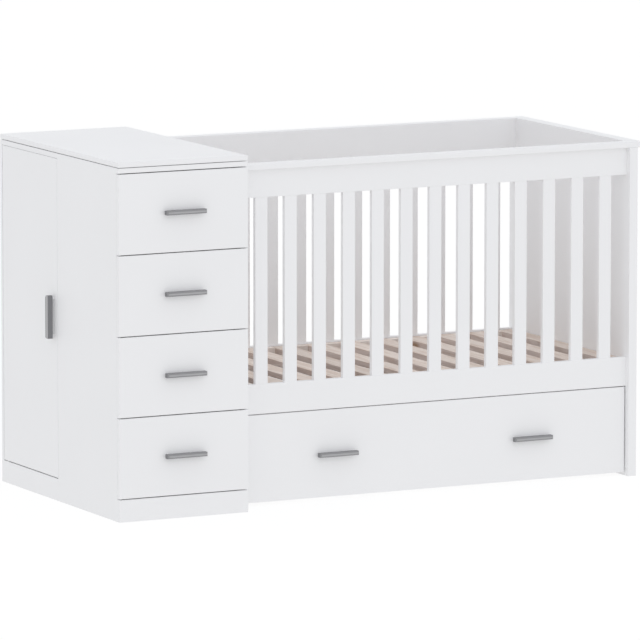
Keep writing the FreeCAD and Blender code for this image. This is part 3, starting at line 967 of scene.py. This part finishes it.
@dataclass
class DrawerHardware:
    """Screws and pads of the cabinet drawers."""

    palette: Palette
    screws: Screws
    domes: Repeats
    count: int = 4
    handle: HandleSizes = HandleSizes()
    head: ScrewHead = ScrewHead()
    runner_wall: float = 1.2 * MM
    screw_inset: float = 40 * MM
    pad_radius: float = 4 * MM
    pad_height: float = 0.7 * MM
    pad_drop: float = 15 * MM
    board: float = 15 * MM

    def rows(self, low: Vector, high: Vector) -> Triple:
        """Y of a runner's screws: near both ends and in the middle."""
        return low.y + self.screw_inset, (low.y + high.y) / 2, high.y - self.screw_inset

    def channel_screws(self) -> None:
        """Screws that hold the fixed channels to the cabinet sides."""
        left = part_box("cabinet_left_side")[1].x + self.runner_wall
        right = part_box("cabinet_right_side")[0].x - self.runner_wall
        seats = []
        for number in range(1, self.count + 1):
            low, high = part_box(f"drawer_{number}_runners")
            level = (low.z + high.z) / 2
            for y in self.rows(low, high):
                seats += [Seat(left, y, level, Facing.RIGHT), Seat(right, y, level, Facing.LEFT)]
        self.screws.drive("channel_screws", seats, self.head, Body.FRAME.value)

    def drawer_screws(self, number: int) -> None:
        """Screws of one drawer's sliders and handle.

        Args:
            number: The drawer, counted from the top.
        """
        low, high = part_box(f"drawer_{number}_runners")
        box_low, box_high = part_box(f"drawer_{number}_box")
        handle_low, handle_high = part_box(f"drawer_{number}_handle")
        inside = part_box(f"drawer_{number}_front")[1].y
        left, right = box_low.x - self.runner_wall, box_high.x + self.runner_wall
        level = (low.z + high.z) / 2
        seats = []
        for y in self.rows(low, high):
            seats += [Seat(left, y, level, Facing.LEFT), Seat(right, y, level, Facing.RIGHT)]
        middle = (handle_low + handle_high) / 2
        seats += [Seat(x, inside, middle.z, Facing.BACK) for x in self.handle.posts(middle.x)]
        self.screws.drive(f"drawer_{number}_screws", seats, self.head, f"drawer_{number}")

    def pads(self) -> None:
        """Clear pads on the carcass edges that the drawer fronts close against."""
        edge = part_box("cabinet_left_side")[0].y
        seats = []
        for number in range(1, self.count + 1):
            low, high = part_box(f"drawer_{number}_front")
            for x in (low.x + self.board / 2, high.x - self.board / 2):
                seats.append(Seat(x, edge, high.z - self.pad_drop, Facing.FRONT))
        sizes = {"Radius": self.pad_radius, "Height": self.pad_height}
        piece = self.domes.place("front_pads", seats, sizes, self.palette.pad)
        carry(piece, Body.FRAME.value)

    def build(self) -> None:
        """Make all the drawer hardware."""
        self.channel_screws()
        for number in range(1, self.count + 1):
            self.drawer_screws(number)
        self.pads()


@dataclass
class DoorHardware:
    """The cupboard door's handle screws and magnetic catch."""

    palette: Palette
    screws: Screws
    handle: HandleSizes = HandleSizes()
    head: ScrewHead = ScrewHead()
    catch_rise: float = 90 * MM
    catch_length: float = 46 * MM
    catch_depth: float = 13 * MM
    catch_width: float = 15 * MM
    catch_gap: float = 0.3 * MM
    catch_edge: float = 0.8 * MM
    strike_thickness: float = 1.2 * MM
    strike_length: float = 38 * MM
    strike_width: float = 12 * MM
    strike_inset: float = 1.6 * MM
    strike_edge: float = 0.4 * MM

    def handle_screws(self) -> None:
        """Screws through the door into the handle's posts."""
        low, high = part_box("door_handle")
        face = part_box("cupboard_door")[1].x
        middle = (low + high) / 2
        seats = [Seat(face, middle.y, z, Facing.RIGHT) for z in self.handle.posts(middle.z)]
        self.screws.drive("door_screws", seats, self.head, Body.DOOR.value)

    def catch(self) -> None:
        """A magnetic catch on the partition and its strike plate on the door."""
        door_low, door_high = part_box("cupboard_door")
        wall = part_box("cabinet_partition")[1].y
        face = door_high.x
        level = (door_low.z + door_high.z) / 2 + self.catch_rise
        strike_face = face + self.strike_thickness
        front, half = strike_face + self.catch_gap, self.catch_length / 2
        low = Vector((front, wall, level - half))
        high = Vector((front + self.catch_width, wall + self.catch_depth, level + half))
        block = rounded_block(low, high, self.catch_edge)
        carry(mesh_piece("catch_body", block, self.palette.catch), Body.FRAME.value)
        start, half = door_low.y + self.strike_inset, self.strike_length / 2
        low = Vector((face, start, level - half))
        high = Vector((strike_face, start + self.strike_width, level + half))
        block = rounded_block(low, high, self.strike_edge)
        carry(mesh_piece("catch_strike", block, self.palette.zinc), Body.DOOR.value)

    def build(self) -> None:
        """Make the door's hardware."""
        self.handle_screws()
        self.catch()


@dataclass
class CribHardware:
    """Spacers and screws of the mattress base, screws of the bed drawer and its castors."""

    palette: Palette
    screws: Screws
    blocks: Repeats
    head: ScrewHead = ScrewHead(4 * MM, 1.6 * MM)
    handle: HandleSizes = HandleSizes()
    spacer_length: float = 31 * MM
    spacer_play: float = 0.3 * MM
    spacer_ease: float = 0.8 * MM
    ledger_screws: int = 5
    ledger_inset: float = 70 * MM
    ledger_thickness: float = 22 * MM
    plate_length: float = 46 * MM
    plate_width: float = 49 * MM
    plate_wall: float = 2.5 * MM
    plate_inset: float = 6 * MM

    def spacers(self) -> None:
        """Pine spacers on the ledgers that close the gaps between the base slats at both ends."""
        low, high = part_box("base_slats")
        slat, pitch = self.palette.base_slat_width, self.palette.base_pitch
        level = (low.z + high.z) / 2
        seats = []
        for index in range(self.palette.base_slats - 1):
            x = low.x + slat + index * pitch + (pitch - slat) / 2
            for y in (low.y + self.spacer_length / 2, high.y - self.spacer_length / 2):
                seats.append(Seat(x, y, level, Facing.BACK))
        sizes = {
            "Width": pitch - slat - 2 * self.spacer_play,
            "Height": high.z - low.z,
            "Length": self.spacer_length,
            "Ease": self.spacer_ease,
        }
        piece = self.blocks.place("base_spacers", seats, sizes, self.palette.spacer)
        carry(piece, Body.FRAME.value)

    def base_screws(self) -> None:
        """Screws that hold the ledgers to the bottom rails."""
        low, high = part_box("base_ledgers")
        level = (low.z + high.z) / 2
        front, back = low.y + self.ledger_thickness, high.y - self.ledger_thickness
        seats = []
        for index in range(self.ledger_screws):
            share = index / (self.ledger_screws - 1)
            x = low.x + self.ledger_inset + share * (high.x - low.x - 2 * self.ledger_inset)
            seats += [Seat(x, front, level, Facing.BACK), Seat(x, back, level, Facing.FRONT)]
        self.screws.drive("ledger_screws", seats, self.head, Body.FRAME.value)

    def drawer_screws(self) -> None:
        """Screws of the bed drawer's handles and castor plates."""
        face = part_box("bed_drawer_front")[1].y
        low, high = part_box("bed_drawer_handles")
        level = (low.z + high.z) / 2
        seats = []
        for middle in (low.x + self.handle.length / 2, high.x - self.handle.length / 2):
            seats += [Seat(x, face, level, Facing.BACK) for x in self.handle.posts(middle)]
        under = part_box("castor_brackets")[1].z - self.plate_wall
        reach_x = self.plate_width / 2 - self.plate_inset
        reach_y = self.plate_length / 2 - self.plate_inset
        for castor in ("front_left", "front_right", "rear_left", "rear_right"):
            low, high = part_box(f"castor_wheel_{castor}")
            centre = (low + high) / 2
            for x in (centre.x - reach_x, centre.x + reach_x):
                for y in (centre.y - reach_y, centre.y + reach_y):
                    seats.append(Seat(x, y, under, Facing.DOWN))
        self.screws.drive("bed_drawer_screws", seats, self.head, Body.BED_DRAWER.value)

    def build(self) -> None:
        """Make the crib's hardware."""
        self.spacers()
        self.base_screws()
        self.drawer_screws()


@dataclass(frozen=True)
class Lamp:
    """A soft square lamp."""

    name: str
    place: Triple
    size: float
    power: float

    def hang(self, target: Triple) -> None:
        """Put the lamp in the scene.

        Args:
            target: The point that it is aimed at.
        """
        data = bpy.data.lights.new(self.name, "AREA")
        data.shape = "SQUARE"
        data.size = self.size
        data.energy = self.power
        lamp = bpy.data.objects.new(self.name, data)
        turn = (Vector(target) - Vector(self.place)).to_track_quat("-Z", "Y")
        lamp.matrix_world = Matrix.Translation(self.place) @ turn.to_matrix().to_4x4()
        bpy.context.scene.collection.objects.link(lamp)


@dataclass
class Studio:
    """Pale floor, soft light and the photograph's camera."""

    focal_pixels: float = 6982.48
    image_pixels: float = 640.0
    sensor: float = 36.0
    yaw: float = 26.765
    pitch: float = 8.09
    corner_pixel: Range = (119.861, 522.906)
    corner_depth: float = 20.6998
    far_clip: float = 200.0
    floor_size: float = 60.0
    floor_roughness: float = 0.9
    floor_glow: float = 0.885
    floor_shown: float = 0.14
    floor_light: float = 0.808
    sky_colour: Triple = (0.955, 0.972, 1.0)
    sky_strength: float = 0.876
    lamps: tuple[Lamp, ...] = (
        Lamp("key_lamp", (-3.0, -9.0, 5.0), 6.0, 50.0),
        Lamp("fill_lamp", (2.5, -6.0, 1.0), 2.5, 8.0),
    )
    lamp_target: Triple = (0.0, 0.0, 0.5)

    def camera(self) -> None:
        """A long lens aimed so that the cabinet's front left foot falls on its pixel."""
        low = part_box("cabinet_top")[0]
        corner = Vector((low.x, low.y, 0.0))
        yaw, pitch = math.radians(self.yaw), math.radians(self.pitch)
        right = Vector((math.cos(yaw), -math.sin(yaw), 0.0))
        level = math.cos(pitch)
        ahead = Vector((math.sin(yaw) * level, math.cos(yaw) * level, -math.sin(pitch)))
        above = right.cross(ahead)
        half = self.image_pixels / 2
        across = (self.corner_pixel[0] - half) / self.focal_pixels * self.corner_depth
        rise = (half - self.corner_pixel[1]) / self.focal_pixels * self.corner_depth
        eye = corner - right * across - above * rise - ahead * self.corner_depth
        data = bpy.data.cameras.new("photo_camera")
        data.sensor_width = self.sensor
        data.lens = self.focal_pixels / self.image_pixels * self.sensor
        data.clip_end = self.far_clip
        camera = bpy.data.objects.new("photo_camera", data)
        turn = Matrix((right, above, -ahead)).transposed()
        camera.matrix_world = Matrix.Translation(eye) @ turn.to_4x4()
        bpy.context.scene.collection.objects.link(camera)
        bpy.context.scene.camera = camera

    def seen(self, sheet: NodeSheet) -> Socket:
        """A value of 1 for what the camera sees straight, in a mirror or through glass.

        Args:
            sheet: The nodes to add to.

        Returns:
            The value.
        """
        path = sheet.add("ShaderNodeLightPath").outputs
        either = path["Is Camera Ray"]
        for ray in ("Is Glossy Ray", "Is Transmission Ray"):
            either = sheet.reckon("MAXIMUM", either, path[ray])
        return either

    def floor(self) -> None:
        """A wide plain floor: white with a soft shadow to the camera, an even pale light to the crib."""
        bm = bmesh.new()
        bmesh.ops.create_grid(bm, x_segments=1, y_segments=1, size=self.floor_size / 2)
        graph = Graph("studio_floor")
        seen = self.seen(graph)
        graph.finish(
            Base_Color=graph.spread(seen, 0.0, self.floor_shown),
            Roughness=self.floor_roughness,
            Specular_IOR_Level=0.0,
            Emission_Color=(*WHITE, 1.0),
            Emission_Strength=graph.spread(seen, self.floor_light, self.floor_glow),
        )
        mesh_piece("studio_floor", bm, graph.material)

    def sky(self) -> None:
        """A white room all round, plain white where the camera sees it."""
        world = bpy.data.worlds.new("studio_sky")
        world.use_nodes = True
        sheet = NodeSheet(world.node_tree)
        room = sheet.tree.nodes["Background"]
        sheet.fill(room, "Color", (*self.sky_colour, 1.0))
        sheet.fill(room, "Strength", self.sky_strength)
        white = sheet.add("ShaderNodeBackground", Color=(*WHITE, 1.0))
        mixed = sheet.add("ShaderNodeMixShader")
        for place, socket in enumerate((self.seen(sheet), room.outputs[0], white.outputs[0])):
            sheet.fill(mixed, place, socket)
        sheet.fill(sheet.tree.nodes["World Output"], "Surface", mixed.outputs[0])
        bpy.context.scene.world = world

    def build(self) -> None:
        """Set up the whole studio."""
        self.floor()
        self.sky()
        for lamp in self.lamps:
            lamp.hang(self.lamp_target)
        self.camera()
        bpy.context.scene.view_settings.view_transform = "Standard"


def main() -> None:
    """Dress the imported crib, add its small hardware and set up the studio."""
    logging.basicConfig(level=logging.INFO, format="%(name)s: %(message)s")
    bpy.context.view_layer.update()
    palette = Palette()
    dress_nodes(palette)
    screws = Screws(screw_heads(), palette.zinc)
    DrawerHardware(palette, screws, soft_domes()).build()
    DoorHardware(palette, screws).build()
    CribHardware(palette, screws, eased_blocks()).build()
    Studio().build()


if __name__ == "__main__":
    main()
